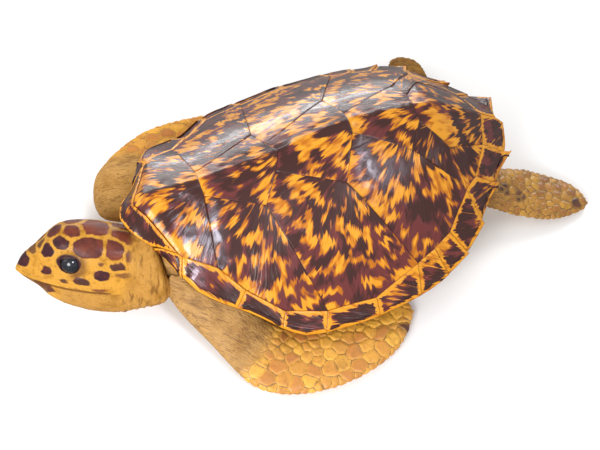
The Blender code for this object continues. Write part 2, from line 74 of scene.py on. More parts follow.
# ---- The scutes' surface: waves of the horn, its rounded worn edge, and what counts as a scute's top ----
WIDE_WAVES = (0.00035, 0.022)   # height and size
NARROW_WAVES = (0.0002, 0.009)
EDGE_ROUNDING = (0.0006, 0.0013)        # depth and width
TOP_FACING = 0.4                # least cosine between a top face and the dome's outward direction

# ---- Where each scute began to grow, as (across, along); its streaks fan out from there ----
VERTEBRAL_GROWTH = [(0.0, 0.190), (0.0, 0.385), (0.0, 0.566), (0.0, 0.735), (0.0, 0.905)]
COSTAL_GROWTH = [(0.104, 0.325), (0.126, 0.520), (0.104, 0.697), (0.110, 0.790)]
RIGHT_SETBACK = [0.028, 0.024, 0.020, 0.0]

# ---- The head, in its own frame: across, behind the beak's root line, up ----
HEAD_PLACE = Vector((0.0275, -0.2303, 0.0556))
HEAD_TURN = np.array(Euler((math.radians(-6.5), math.radians(-25), math.radians(-19)), "YXZ").to_matrix())
EYE_PLACE = Vector((0.0215, -0.060, 0.020))
EYE_RADIUS = 0.0125
LID_EDGES = (-62, 52)           # lower and upper lid, in degrees from straight out
LID_THICKNESS = 0.0015
MEETING_LINE = 0.0002           # where the faces of head and neck meet, and how far they may lie off it
MEETING_REACH = 0.0004
SCALE_ROUNDNESS = 2.4           # 2 would be an ellipse
HEAD_SCALE_RELIEF = 0.0004
MOUTH_LINE = [(-0.120, -0.0085), (-0.100, -0.0105), (-0.082, -0.0105), (-0.058, -0.0105),
              (-0.018, -0.0107)]

# Scales of the head's left side: place, half length along the head, half width, darkness, redness.
HEAD_SCALES = [
    ((0.0030, -0.0790, 0.0455), 0.0078, 0.0062, 1.00, 0.35),
    ((0.0090, -0.0585, 0.0500), 0.0088, 0.0070, 1.00, 0.50),
    ((0.0019, -0.0378, 0.0520), 0.0128, 0.0105, 1.00, 0.65),
    ((0.0175, -0.0716, 0.0413), 0.0078, 0.0066, 1.00, 0.10),
    ((0.0170, -0.0862, 0.0312), 0.0074, 0.0066, 1.00, 0.05),
    ((0.0060, -0.0960, 0.0332), 0.0055, 0.0060, 0.85, 0.10),
    ((0.0241, -0.0418, 0.0421), 0.0138, 0.0098, 1.00, 0.45),
    ((0.0231, -0.0144, 0.0416), 0.0092, 0.0102, 1.00, 0.55),
    ((0.0073, -0.0065, 0.0494), 0.0105, 0.0110, 1.00, 0.75),
    ((0.0290, 0.0010, 0.0350), 0.0038, 0.0092, 1.00, 0.50),
    ((0.0318, -0.0284, 0.0262), 0.0052, 0.0024, 0.90, 0.40),
    ((0.0320, -0.0093, 0.0235), 0.0078, 0.0045, 0.95, 0.25),
    ((0.0342, -0.0269, 0.0125), 0.0072, 0.0052, 1.00, 0.10),
    ((0.0336, -0.0036, 0.0146), 0.0078, 0.0034, 0.75, 0.35),
    ((0.0329, -0.0479, 0.0027), 0.0078, 0.0038, 0.95, 0.05),
    ((0.0286, -0.0671, 0.0000), 0.0052, 0.0023, 0.90, 0.20),
    ((0.0219, -0.0867, 0.0087), 0.0062, 0.0042, 1.00, 0.10),
    ((0.0190, -0.0950, 0.0100), 0.0040, 0.0022, 0.80, 0.20),
    ((0.0317, -0.0500, -0.0080), 0.0085, 0.0019, 0.85, 0.70),
    ((0.0338, -0.0330, -0.0062), 0.0105, 0.0022, 0.85, 0.75),
    ((0.0040, -0.1130, 0.0105), 0.0135, 0.0075, 1.00, 0.05),
    ((0.0035, -0.1020, 0.0230), 0.0080, 0.0065, 0.80, 0.15),
    ((0.0190, -0.0900, -0.0165), 0.0125, 0.0060, 0.95, 0.20),
]

# ---- The flippers' surface ----
FLIPPER_SCALE_RELIEF = 0.0011
FLIPPER_SINK = 0.0007           # how far the skin lies under the solid's surface, to make room for the scales
FLIPPER_FOLDS = 0.0005
BODY_SINK = 0.0009
BODY_FOLDS = 0.0008

# ---- The flippers: plan of the leading edge, root to tip; the arm's middle and how far bare skin reaches
# from it; scale size; the way the folds run, in degrees from +X; how bright the whole and its blade are; and
# scales of their own tone, as (place in plan, darkness, redness) ----
FLIPPERS = {
    "front_flipper_left": {
        "lead": [(0.130, -0.176), (0.162, -0.160), (0.192, -0.142), (0.211, -0.110), (0.219, -0.064),
                 (0.213, -0.017), (0.199, 0.018), (0.180, 0.040), (0.161, 0.054)],
        "arm": (0.105, -0.170), "bare": 0.075, "scale": 0.0125, "folds": 48, "tone": 1.0, "blade": 1.0,
        "marks": [((0.165, -0.112), 0.80, 0.85), ((0.189, -0.116), 0.70, 0.85),
                  ((0.180, -0.098), 0.85, 0.90), ((0.154, -0.093), 0.90, 0.60),
                  ((0.160, -0.074), 0.85, 0.80), ((0.176, -0.021), 0.80, 1.00),
                  ((0.182, 0.024), 0.05, 0.30), ((0.176, 0.037), 1.00, 0.10),
                  ((0.178, -0.051), 0.15, 0.60), ((0.201, -0.042), 0.25, 0.40),
                  ((0.192, 0.006), 0.55, 0.95)]},
    "front_flipper_right": {
        "lead": [(-0.051, -0.241), (-0.096, -0.235), (-0.122, -0.217), (-0.148, -0.185), (-0.166, -0.149),
                 (-0.171, -0.110), (-0.168, -0.070), (-0.155, -0.030), (-0.142, 0.0), (-0.130, 0.018)],
        "arm": (-0.070, -0.200), "bare": 0.055, "scale": 0.0125, "folds": 70, "tone": 1.12, "blade": 0.80,
        "marks": [((-0.143, -0.130), 0.90, 0.60), ((-0.136, -0.148), 0.80, 0.70),
                  ((-0.129, -0.158), 0.70, 0.75), ((-0.148, -0.116), 0.80, 0.85),
                  ((-0.142, -0.097), 0.90, 0.80), ((-0.124, -0.168), 0.70, 0.95)]},
    "hind_flipper_left": {
        "lead": [(0.036, 0.232), (0.040, 0.250), (0.050, 0.268), (0.0635, 0.286), (0.081, 0.2965),
                 (0.094, 0.298)],
        "arm": (0.050, 0.175), "bare": 0.016, "scale": 0.0080, "folds": -30, "tone": 0.66, "blade": 1.0,
        "marks": [((0.064, 0.204), 1.00, 0.20), ((0.075, 0.219), 1.00, 0.20), ((0.059, 0.260), 0.92, 0.45),
                  ((0.066, 0.269), 0.85, 0.55), ((0.077, 0.279), 0.90, 0.50), ((0.069, 0.252), 0.80, 0.55),
                  ((0.080, 0.265), 0.75, 0.60), ((0.089, 0.285), 1.00, 0.15), ((0.031, 0.235), 0.95, 0.20),
                  ((0.045, 0.240), 0.70, 0.60), ((0.098, 0.264), 0.80, 0.60)]},
    "hind_flipper_right": {
        "lead": [(-0.106, 0.183), (-0.130, 0.188), (-0.149, 0.189), (-0.162, 0.186), (-0.171, 0.178)],
        "arm": (-0.080, 0.155), "bare": 0.030, "scale": 0.0080, "folds": 60, "tone": 0.38, "blade": 1.0,
        "marks": []},
}

# ---- The studio ----
LOOKED_AT = (0, 0, 0.05)
FLOOR_TONE = (0.96, 0.96, 0.96, 1)
MIRRORED_FLOOR_TONE = (0.22, 0.22, 0.22, 1)
SKY_STRENGTH = 0.72
CAMERA_PLACE = (0.92498, -0.35752, 1.55131)
CAMERA_DIRECTION = (-0.5011, 0.1825, -0.8459)
SENSOR_WIDTH = 36


# ---- Settings ----

def color_setting(name, description, default):
    return FloatVectorProperty(name=name, description=description, subtype="COLOR", size=3, min=0, max=1,
                               default=default)


def length_setting(name, description, default):
    return FloatProperty(name=name, description=description, unit="LENGTH", default=default)


class ShellSettings(bpy.types.PropertyGroup):
    amber: color_setting("Amber", "Clear horn between the dark streaks", (0.67, 0.280, 0.012))
    brown: color_setting("Red brown", "Thin layers of dark horn", (0.115, 0.020, 0.018))
    dark: color_setting("Dark", "Thick dark horn near the growth centre", (0.038, 0.009, 0.006))
    cuts: IntProperty(name="Cuts", description="Cuts in each face of a scute", min=1, max=8, default=6)
    gap_cover: length_setting("Gap cover", "How far each scute's edge reaches into its seam", 0.00045)
    border: length_setting("Border", "Width of the pale border of a large scute", 0.0013)
    rim_border: length_setting("Rim border", "Width of the amber border of a rim scute", 0.0060)
    fan: length_setting("Fan", "How far beyond a scute's first corner its streaks would meet", 0.034)


class SkinSettings(bpy.types.PropertyGroup):
    neck: color_setting("Neck", "Bare dried skin of neck and throat", (0.43, 0.215, 0.042))
    limb: color_setting("Limb", "Bare dried skin of the limbs", (0.42, 0.230, 0.068))
    border: color_setting("Scale border", "Clear borders of the head's scales", (0.52, 0.255, 0.035))
    dark: color_setting("Dark scale", "Dark scales of head and flippers", (0.040, 0.014, 0.018))
    red: color_setting("Red scale", "Reddish scales of the head", (0.190, 0.045, 0.022))
    blade: color_setting("Blade", "Ochre scales of the flippers", (0.80, 0.41, 0.050))
    rust: color_setting("Rust", "Rusty scales of the flippers", (0.50, 0.170, 0.040))
    head_grain: length_setting("Head grain", "Mesh size on the head", 0.00089)
    limb_grain: length_setting("Limb grain", "Mesh size on the flippers and the tail", 0.00095)
    body_grain: length_setting("Body grain", "Mesh size on the body", 0.0030)


class StageSettings(bpy.types.PropertyGroup):
    floor: length_setting("Floor", "Width of the floor", 12.0)
    lens: FloatProperty(name="Lens", description="Focal length in millimetres", default=95.76)


# ---- Small helpers ----

MERGE_DISTANCE = 0.00001
PAIRING_ANGLE = 0.7             # triangles that bend less than this, in radians, become one face


class Profile:
    """A smooth curve through (place, value) points that never overshoots them, read at many places."""

    def __init__(self, points):
        self.places, self.values = np.array(points, float).T
        steps = np.diff(self.places)
        rises = np.diff(self.values) / steps
        before, after = rises[:-1], rises[1:]
        near, far = 2 * steps[1:] + steps[:-1], steps[1:] + 2 * steps[:-1]
        same_way = before * after > 0
        safe = np.where(same_way, before, 1), np.where(same_way, after, 1)
        middle = np.where(same_way, (near + far) / (near / safe[0] + far / safe[1]), 0)
        self.slopes = np.concatenate(([rises[0]], middle, [rises[-1]]))

    def at(self, place):
        place = np.clip(place, self.places[0], self.places[-1])
        i = np.clip(np.searchsorted(self.places, place, side="right") - 1, 0, len(self.places) - 2)
        step = self.places[i + 1] - self.places[i]
        t = (place - self.places[i]) / step
        bend = t * (1 - t) * step * (self.slopes[i] * (1 - t) - self.slopes[i + 1] * t)
        return self.values[i] + (self.values[i + 1] - self.values[i]) * t * t * (3 - 2 * t) + bend


outline_square = Profile([(along, across * across) for along, across in OUTLINE])
rim_height = Profile(RIM_HEIGHT)
crest_height = Profile(CREST_HEIGHT)
crest_rounding = Profile(CREST_ROUNDING)


def half_width_at(along, least=1e-6):
    """Half the shell's width at a share of its length; least keeps it above zero at the two ends."""
    return SHELL_LENGTH * np.sqrt(np.maximum(outline_square.at(along), least))


def dome_height(x, y):
    along = y / SHELL_LENGTH + 0.5
    out = np.minimum(np.abs(x) / half_width_at(along, 1e-12), 1)
    rim = rim_height.at(along)
    keel = KEEL_HEIGHT * np.exp(-(x / KEEL_WIDTH) ** 2) * np.minimum(1, along * 12)
    return rim + (crest_height.at(along) - rim + keel) * (1 - out ** DOME_SQUARENESS) ** DOME_FALL


def round_crest(points):
    """Lower the points along the crest, which is less sharp in front than the solids have it."""
    x, y = points[:, 0], points[:, 1]
    along = y / SHELL_LENGTH + 0.5
    width = crest_rounding.at(along)
    drop = dome_height(np.sqrt(x * x + width * width), y) - dome_height(x, y)
    points[:, 2] += drop * (np.abs(x) < 0.8 * half_width_at(along)) * np.exp(-(x / CREST_FADE) ** 2)


def dome_normals(x, y):
    """Outward directions of the shell's surface, read a little inside the rim."""
    step = 0.004
    along = np.clip(y / SHELL_LENGTH + 0.5, 0.03, 0.97)
    limit = np.maximum(0.93 * SHELL_LENGTH * np.sqrt(outline_square.at(along)) - step, step)
    x = np.clip(x, -limit, limit)
    y = (along - 0.5) * SHELL_LENGTH
    slope_x = (dome_height(x + step, y) - dome_height(x - step, y)) / (2 * step)
    slope_y = (dome_height(x, y + step) - dome_height(x, y - step)) / (2 * step)
    normals = np.stack((-slope_x, -slope_y, np.ones_like(x)), 1)
    return normals / np.linalg.norm(normals, axis=1, keepdims=True)


def smooth_step(value, low, high):
    t = np.clip((value - low) / (high - low), 0, 1)
    return t * t * (3 - 2 * t)


def vectors_of(items, name):
    values = np.empty(len(items) * 3, np.float32)
    items.foreach_get(name, values)
    return values.reshape(-1, 3).astype(float)


def points_of(mesh):
    return vectors_of(mesh.vertices, "co")


def normals_of(mesh):
    return vectors_of(mesh.vertex_normals, "vector")


def move_points(mesh, points):
    mesh.vertices.foreach_set("co", points.astype(np.float32).ravel())
    mesh.update()


def store(mesh, name, values):
    """Keep one number for each vertex, for the material to read."""
    attribute = mesh.attributes.get(name) or mesh.attributes.new(name, "FLOAT", "POINT")
    attribute.data.foreach_set("value", np.asarray(values, np.float32))


def stored(mesh, name):
    values = np.empty(len(mesh.vertices), np.float32)
    mesh.attributes[name].data.foreach_get("value", values)
    return values.astype(float)


def noise_at(points, size, seed):
    """Soft noise from -1 to 1 at each point, with features of about the given size."""
    shift = Vector((seed * 7.3, seed * 3.1, seed * 5.7))
    return np.array([noise.noise(Vector(p) / size + shift) for p in points])


def edit(*calls, whole=False):
    """Run mesh operators in face mode, each given as (operator, keywords), on the selection or the whole."""
    bpy.context.tool_settings.mesh_select_mode = (False, False, True)
    bpy.ops.object.mode_set(mode="EDIT")
    if whole:
        bpy.ops.mesh.select_all(action="SELECT")
    for operator, keywords in calls:
        operator(**keywords)
    bpy.ops.object.mode_set(mode="OBJECT")


def apply_modifier(obj, kind, **settings):
    modifier = obj.modifiers.new(kind, kind)
    for name, value in settings.items():
        setattr(modifier, name, value)
    bpy.ops.object.modifier_apply(modifier=modifier.name)


def copy_of(name, *nodes):
    """A merged copy of solid nodes as one new object, selected alone, its triangles paired into quads."""
    bpy.ops.object.select_all(action="DESELECT")
    for node in nodes:
        part = bpy.data.objects.new(name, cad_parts[node].data.copy())
        bpy.context.scene.collection.objects.link(part)
        part.select_set(True)
        bpy.context.view_layer.objects.active = part
    if len(nodes) > 1:
        bpy.ops.object.join()
    obj = bpy.context.object
    obj.name = obj.data.name = name
    obj.data.materials.clear()
    for layer in list(obj.data.uv_layers):
        obj.data.uv_layers.remove(layer)
    bpy.ops.mesh.customdata_custom_splitnormals_clear()
    pairing = {"face_threshold": PAIRING_ANGLE, "shape_threshold": PAIRING_ANGLE}
    edit((bpy.ops.mesh.remove_doubles, {"threshold": MERGE_DISTANCE}),
         (bpy.ops.mesh.tris_convert_to_quads, pairing), whole=True)
    return obj


def keep_full(obj):
    """Swell the mesh so that its subdivided surface runs through the points where it has its corners now."""
    wanted = points_of(obj.data)
    modifier = obj.modifiers.new("Trial", "SUBSURF")
    modifier.levels = 2
    for _ in range(2):
        smoothed = obj.evaluated_get(bpy.context.evaluated_depsgraph_get()).data
        reached = points_of(smoothed)[:len(wanted)]
        move_points(obj.data, points_of(obj.data) + wanted - reached)
        bpy.context.view_layer.update()
    obj.modifiers.remove(modifier)


def skin_mesh(obj, grain, smoothing, rounded=True):
    """One even skin over the object's closed parts, which are rounded first if wanted."""
    if rounded:
        keep_full(obj)
        apply_modifier(obj, "SUBSURF", levels=2)
    obj.data.remesh_voxel_size = grain
    bpy.ops.object.voxel_remesh()
    edit((bpy.ops.mesh.vertices_smooth, {"factor": 0.5, "repeat": smoothing}), whole=True)


def finish_piece(obj, material, slot, *nodes):
    obj.data.materials.append(material)
    bpy.ops.object.select_all(action="DESELECT")
    obj.select_set(True)
    bpy.context.view_layer.objects.active = obj
    bpy.ops.object.shade_smooth()
    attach(obj, "root")
    if nodes:
        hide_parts(*nodes)


# ---- Materials ----

# What skin materials read at each point: how deep it lies inside a scale, that scale's darkness and redness,
# how bare the skin is there, and how high its folds stand, which the material turns into painted shade in the
# creases.
MARKS = ("edge", "darkness", "redness", "bare", "crease")


class Output:
    """A node's output; arithmetic with it adds math nodes to its graph."""

    def __init__(self, graph, socket):
        self.graph, self.socket = graph, socket

    def math(self, operation, *others, clamp=False):
        return self.graph.math(operation, self, *others, clamp=clamp)

    def __add__(self, other):
        return self.math("ADD", other)

    def __sub__(self, other):
        return self.math("SUBTRACT", other)

    def __rsub__(self, other):
        return self.graph.math("SUBTRACT", other, self)

    def __mul__(self, other):
        return self.math("MULTIPLY", other)

    def __truediv__(self, other):
        return self.math("DIVIDE", other)


class Graph:
    """Adds nodes to a node tree; their inputs are given as plain values or as outputs of other nodes."""

    def __init__(self, tree):
        self.tree = tree

    def node(self, kind, *inputs, sockets=None, **settings):
        node = self.tree.nodes.new(kind)
        for key, value in settings.items():
            setattr(node, key, value)
        for key, value in (*enumerate(inputs), *(sockets or {}).items()):
            self.feed(node.inputs[key], value)
        return node

    def add(self, kind, *inputs, output=0, **settings):
        return Output(self, self.node(kind, *inputs, **settings).outputs[output])

    def feed(self, socket, value):
        if isinstance(value, Output):
            self.tree.links.new(value.socket, socket)
        else:
            socket.default_value = value

    def math(self, operation, *inputs, clamp=False):
        return self.add("ShaderNodeMath", *inputs, operation=operation, use_clamp=clamp)

    def blend(self, share, low, high):
        node = self.node("ShaderNodeMix", data_type="RGBA")
        for name, value in (("Factor_Float", share), ("A_Color", low), ("B_Color", high)):
            self.feed(next(s for s in node.inputs if s.identifier == name), value)
        return Output(self, next(s for s in node.outputs if s.identifier == "Result_Color"))

    def step(self, value, low, high):
        """0 below low, 1 above high, smooth between; high may be less than low."""
        return self.add("ShaderNodeMapRange", value, low, high, interpolation_type="SMOOTHSTEP")

    def noise(self, place, scale, detail=2.0, roughness=0.5, warp=0.0):
        return self.add("ShaderNodeTexNoise", output="Fac", sockets={
            "Vector": place, "Scale": scale, "Detail": detail, "Roughness": roughness, "Distortion": warp})

    def shift(self, color, hue, saturation, value):
        return self.add("ShaderNodeHueSaturation", sockets={
            "Hue": hue, "Saturation": saturation, "Value": value, "Color": color})

    def join(self, x, y, z):
        return self.add("ShaderNodeCombineXYZ", x, y, z)

    def part(self, vector, axis):
        return self.add("ShaderNodeSeparateXYZ", vector, output=axis)

    def attribute(self, name):
        return self.add("ShaderNodeAttribute", attribute_name=name, output="Fac")

    def place(self):
        return self.add("ShaderNodeTexCoord", output="Object")


def new_group(name, **inputs):
    """A node group with input sockets named by kind, whose outputs are a colour and a relief.

    Returns its graph, its output sockets to feed, and its inputs in the order given.
    """
    tree = bpy.data.node_groups.new(name, "ShaderNodeTree")
    for kind, labels in inputs.items():
        for label in labels:
            tree.interface.new_socket(label, in_out="INPUT", socket_type="NodeSocket" + kind)
    tree.interface.new_socket("Color", in_out="OUTPUT", socket_type="NodeSocketColor")
    tree.interface.new_socket("Relief", in_out="OUTPUT", socket_type="NodeSocketFloat")
    graph = Graph(tree)
    given = tree.nodes.new("NodeGroupInput").outputs
    results = tree.nodes.new("NodeGroupOutput").inputs
    return graph, results, [Output(graph, given[label]) for labels in inputs.values() for label in labels]


def tortoiseshell_group():
    """Horn with dark comb-ended flames that fan out from the growth centre, over clear amber."""
    g, out, (growth, amber, brown, dark, seed, border, darkness, blotch, comb, framed, fan) = new_group(
        "Tortoiseshell", Vector=("Growth",), Color=("Amber", "Brown", "Dark"),
        Float=("Seed", "Border", "Darkness", "Blotch", "Comb", "Framed", "Fan"))
    across, along = g.part(growth, 0), g.part(growth, 1)
    grown = (across * across + along * along).math("SQRT") - fan
    # Width across the streaks, in metres at the middle of the scute; they sway, so none is ruled straight.
    sway = g.noise(g.join(across, along, seed), 14.0, 1.0)
    ray = (along.math("ARCTAN2", across) + (sway - 0.5) * 0.30) * (fan + 0.045)

    def streaks(width, length, place, shift, detail):
        return g.noise(g.join(ray / (blotch * width), place / (blotch * length), seed + shift), 1.0, detail)

    # Teeth along each streak: coarse and fine ones.
    coarse, fine = streaks(0.26, 4.5, grown, 0.0, 1.0), streaks(0.12, 6.0, grown, 0.0, 1.0)
    reach = grown - ((coarse - 0.5) * 2.2 + (fine - 0.5) * 1.3) * comb
    # Dark and clear patches, drawn out along the streaks, and arcs round the growth centre.
    patches, small = streaks(1.0, 1.6, reach, 1.3, 1.0), streaks(0.48, 0.95, reach, 3.7, 0.0)
    arcs = streaks(3.6, 1.4, reach, 5.9, 0.0)
    level = patches * 0.50 + small * 0.24 + arcs * 0.38 - 0.06
    level = level + g.step(grown, 0.030, 0.0) * 0.05 + (darkness - 0.5) * 0.4
    # A rim scute keeps a clear frame, which the dark combs run out into.
    frame_edge = border + (coarse * 0.5 + fine * 0.5 - 0.5) * 1.9
    level = level - g.step(frame_edge, 0.90, 0.45) * framed * 0.30
    mask = g.step(level, 0.464, 0.498)
    # Thick horn is nearly black, thin horn red brown, also in streaks.
    thick = streaks(0.9, 2.0, reach, 8.1, 2.0) - grown * 2.1 + (level - 0.48) * 1.6 - framed * 0.10
    horn = g.blend(g.step(thick, 0.36, 0.56), brown, dark)
    # The clear horn runs from yellow to orange, with a warm fringe next to the dark.
    warmth = g.step(streaks(0.4, 1.6, grown, 2.2, 3.0), 0.46, 0.72)
    warmth = warmth.math("ADD", g.step(level, 0.418, 0.468), clamp=True)
    mixed = g.blend(mask, g.blend(warmth, amber, g.shift(amber, 0.480, 1.05, 0.60)), horn)
    line = g.step(border, 0.30 - framed * 0.22, 0.0)
    g.feed(out["Color"], g.blend(line * 0.65, mixed, brown))
    scratches = g.noise(g.join(across * 900.0, along * 900.0, seed), 1.0, 2.0)
    ridges = streaks(0.16, 4.0, grown, 6.4, 3.0)
    g.feed(out["Relief"], scratches * 0.06 + (ridges + mask * 0.12))


def scaly_skin_group():
    """Scales over skin: each dark in the middle and pale at its border, with bare folded skin between, which
    gets painted shade in its creases and fold grooves.
    """
    g, out, (place, skin, border, dark, red, edge, darkness, redness, bare, crease, softness, outline, folds,
             wrinkled) = new_group(
        "Scaly skin", Vector=("Place",), Color=("Skin", "Border", "Dark", "Red"),
        Float=("Edge", "Darkness", "Redness", "Bare", "Crease", "Softness", "Outline", "Folds", "Wrinkled"))
    fine = g.noise(place, 420.0, 2.0)
    edge = edge + (g.noise(place, 210.0, 2.0) - 0.5) * 0.0018
    mottle = g.noise(place, 75.0, 3.0, 0.6)
    middle = g.blend(redness.math("ADD", (mottle - 0.5) * 1.5, clamp=True), dark, red)
    amount = g.step(edge, softness * -0.5, softness) * darkness
    deep = g.shift(skin, 0.488, 1.12, 0.50)
    pale = g.blend(g.step(mottle, 0.46, 0.68) * 0.55, border, deep)
    drawn = g.step(edge.math("ABSOLUTE"), 0.00075, 0.0001) * outline
    scaled = g.blend(drawn, g.blend(amount, pale, middle), g.blend(0.25, dark, skin))
    # Bare skin: blotches and specks; painted shade in its creases follows below.
    blotched = g.blend(g.step(g.noise(place, 34.0, 4.0, 0.62), 0.46, 0.68) * 0.60, skin, deep)
    both = g.blend(bare, scaled, blotched)
    specks = g.step(fine, 0.56, 0.72) * 0.40
    specks = specks.math("ADD", g.step(g.noise(place, 260.0, 1.0), 0.66, 0.74) * 0.45, clamp=True)
    both = g.blend(specks * (1.0 - amount * 0.7), both, deep)
    # Fine parallel folds of dried skin, run along one direction in plan, with painted shade in their grooves.
    turned = g.add("ShaderNodeVectorRotate", rotation_type="Z_AXIS",
                   sockets={"Vector": place, "Angle": folds})
    stretched = g.join(g.part(turned, 0) * 50.0, g.part(turned, 1) * 300.0, g.part(turned, 2) * 180.0)
    wrinkle = g.noise(stretched, 1.0, 1.0, 0.5, 2.0)
    # Painted shade: dark in the grooves of the fine folds, and in the low parts of the stored folds (the
    # crease input).
    wrinkle_shade = g.step(wrinkle, 0.44, 0.34) * (bare * wrinkled)
    crease = (g.step(crease, -0.05, -0.75) * 0.72).math("MAXIMUM", wrinkle_shade)
    g.feed(out["Color"], g.blend(crease, both, g.blend(0.5, deep, dark)))
    g.feed(out["Relief"], fine * 0.45 + wrinkle * bare * (wrinkled * 2.6))


def principled(name, color, roughness, coat=0.0, coat_roughness=0.03, shine=0.5):
    """A new material; returns it with its graph and its shader node."""
    material = bpy.data.materials.new(name)
    material.use_nodes = True
    shader = material.node_tree.nodes["Principled BSDF"]
    for label, value in (("Base Color", (*color, 1)), ("Roughness", roughness), ("Coat Weight", coat),
                         ("Coat Roughness", coat_roughness), ("Specular IOR Level", shine)):
        shader.inputs[label].default_value = value
    return material, Graph(material.node_tree), shader


def add_group(graph, shader, group, distance, strength, **sockets):
    """Take the shader's colour and its bump, of this distance and strength, from a node group."""
    node = graph.node("ShaderNodeGroup", node_tree=bpy.data.node_groups[group], sockets=sockets)
    graph.feed(shader.inputs["Base Color"], Output(graph, node.outputs["Color"]))
    bump(graph, shader, Output(graph, node.outputs["Relief"]), distance, strength)


def bump(graph, shader, height, distance, strength):
    graph.feed(shader.inputs["Normal"], graph.add(
        "ShaderNodeBump", sockets={"Strength": strength, "Distance": distance, "Height": height}))


def horn_material(name, darkness, blotch, comb, framed):
    """Varnished tortoiseshell for one family of scutes."""
    shell = bpy.context.scene.shell_settings
    material, g, shader = principled(name, shell.amber, 0.22, coat=0.15, coat_roughness=0.08, shine=0.38)
    add_group(g, shader, "Tortoiseshell", 0.0007, 0.55, Growth=g.add("ShaderNodeUVMap", uv_map="growth"),
              Seed=g.attribute("seed"), Border=g.attribute("border"), Amber=(*shell.amber, 1),
              Brown=(*shell.brown, 1), Dark=(*shell.dark, 1), Darkness=darkness, Blotch=blotch, Comb=comb,
              Framed=framed, Fan=shell.fan)
    return material


def skin_material(name, roughness, coat, shine, colors, softness=0.0007, outline=0.0, folds=0, wrinkled=0.2):
    """Scaly or bare skin; colors holds its skin, border, dark and red tones, folds their way in degrees."""
    tones = {label: (*color, 1) for label, color in zip(("Skin", "Border", "Dark", "Red"), colors)}
    material, g, shader = principled(name, colors[0], roughness, coat=coat, coat_roughness=0.12, shine=shine)
    marks = {label.title(): g.attribute(label) for label in MARKS}
    add_group(g, shader, "Scaly skin", 0.0012, 0.7, Place=g.place(), Softness=softness, Outline=outline,
              Folds=-math.radians(folds), Wrinkled=wrinkled, **marks, **tones)
    g.feed(shader.inputs["Roughness"], marks["Bare"] * 0.16 + roughness)
    g.feed(shader.inputs["Coat Weight"], (1.0 - marks["Bare"]) * coat)
    return material


def keep_marks(mesh, **marks):
    """Store the marks that skin materials read; a missing one is zero all over."""
    for name in MARKS:
        store(mesh, name, np.broadcast_to(marks.get(name, 0.0), (len(mesh.vertices),)))


def folds_at(points, degrees, length, width, seed):
    """Noise drawn out along a plan direction, for the folds of dried skin."""
    along = np.array((math.cos(math.radians(degrees)), math.sin(math.radians(degrees)), 0.0))
    across = np.array((-along[1], along[0], 0.0))
    turned = np.stack((points @ along / length, points @ across / width, points[:, 2] / width), 1)
    return noise_at(turned, 1.0, seed)


# ---- Scutes ----

def dome_depth(points):
    """How deep points lie under the smooth dome, and the dome's outward directions there."""
    x, y, z = points.T
    normals = dome_normals(x, y)
    return (dome_height(x, y) - z) * normals[:, 2], normals


def mark_top(mesh):
    """Mark and select a scute's top; returns the places along its border."""
    x, y, _ = vectors_of(mesh.polygons, "center").T
    faces = np.sum(vectors_of(mesh.polygons, "normal") * dome_normals(x, y), axis=1) > TOP_FACING
    outer, sides = np.zeros((2, len(mesh.vertices)))
    for face, on_top in zip(mesh.polygons, faces):
        (outer if on_top else sides)[list(face.vertices)] = 1.0
    store(mesh, "outer", outer)
    mesh.polygons.foreach_set("select", faces)
    return {tuple(mesh.vertices[v].co) for v in np.flatnonzero(outer * sides)}


def dress_scute(name, growth, seed, material, slot, border):
    """A fine copy of a scute on the smooth dome, with a worn border and its growth map."""
    shell = bpy.context.scene.shell_settings
    obj = copy_of(name + "_horn", name)
    mesh = obj.data
    store(mesh, "depth", dome_depth(points_of(mesh))[0])
    rim = mark_top(mesh)
    edit((bpy.ops.mesh.inset, {"thickness": border}))
    on_top = stored(mesh, "outer")
    store(mesh, "border", [0.0 if tuple(vertex.co) in rim else flag
                           for vertex, flag in zip(mesh.vertices, on_top)])
    edit((bpy.ops.mesh.subdivide, {"number_cuts": shell.cuts}), whole=True)
    points = points_of(mesh)
    round_crest(points)
    depth, normals = dome_depth(points)
    wanted, worn, outer = (stored(mesh, mark) for mark in ("depth", "border", "outer"))
    out = np.abs(points[:, 0]) / half_width_at(points[:, 1] / SHELL_LENGTH + 0.5)
    fit = np.clip(depth - wanted, -FIT_LIMIT, FIT_LIMIT) * smooth_step(out, 0.99, 0.93)
    waves = sum(height * noise_at(points, size, seed + shift)
                for (height, size), shift in ((WIDE_WAVES, 0), (NARROW_WAVES, 4)))
    waves *= 1 + 1.8 * np.exp(-(points[:, 0] / 0.018) ** 2)      # strongest along the keel
    rounding = EDGE_ROUNDING[0] * np.clip(1 - worn * border / EDGE_ROUNDING[1], 0, 1) ** 2
    points += normals * (fit + (waves - rounding) * outer)[:, None]
    middle = points[outer > 0.5].mean(0)
    spread = np.linalg.norm(points[worn < 0.01] - middle, axis=1).mean()
    points += (points - middle) * (shell.gap_cover / spread)
    move_points(mesh, points)
    store(mesh, "seed", np.full(len(points), seed * 1.37))
    map_growth(mesh, points, normals, outer, growth)
    finish_piece(obj, material, slot, name)


def map_growth(mesh, points, normals, outer, growth):
    """UV map in metres from where the streaks would meet, its first axis towards the middle of the scute."""
    top = outer > 0.5
    centre = points[top].mean(0)
    start = np.array((*growth, *dome_height(*np.array(growth)[:, None])))
    up = normals[top].mean(0)
    up /= np.linalg.norm(up)
    first = centre - start
    first -= up * (first @ up)
    first /= np.linalg.norm(first)
    second = np.cross(up, first)
    fan = bpy.context.scene.shell_settings.fan
    flat = np.stack(((points - start) @ first + fan, (points - start) @ second), 1)
    corner = np.empty(len(mesh.loops), np.int32)
    mesh.loops.foreach_get("vertex_index", corner)
    layer = mesh.uv_layers.new(name="growth")
    layer.data.foreach_set("uv", flat[corner].astype(np.float32).ravel())


def at(across, along, side=1):
    return (side * across * SHELL_LENGTH, (along - 0.5) * SHELL_LENGTH)


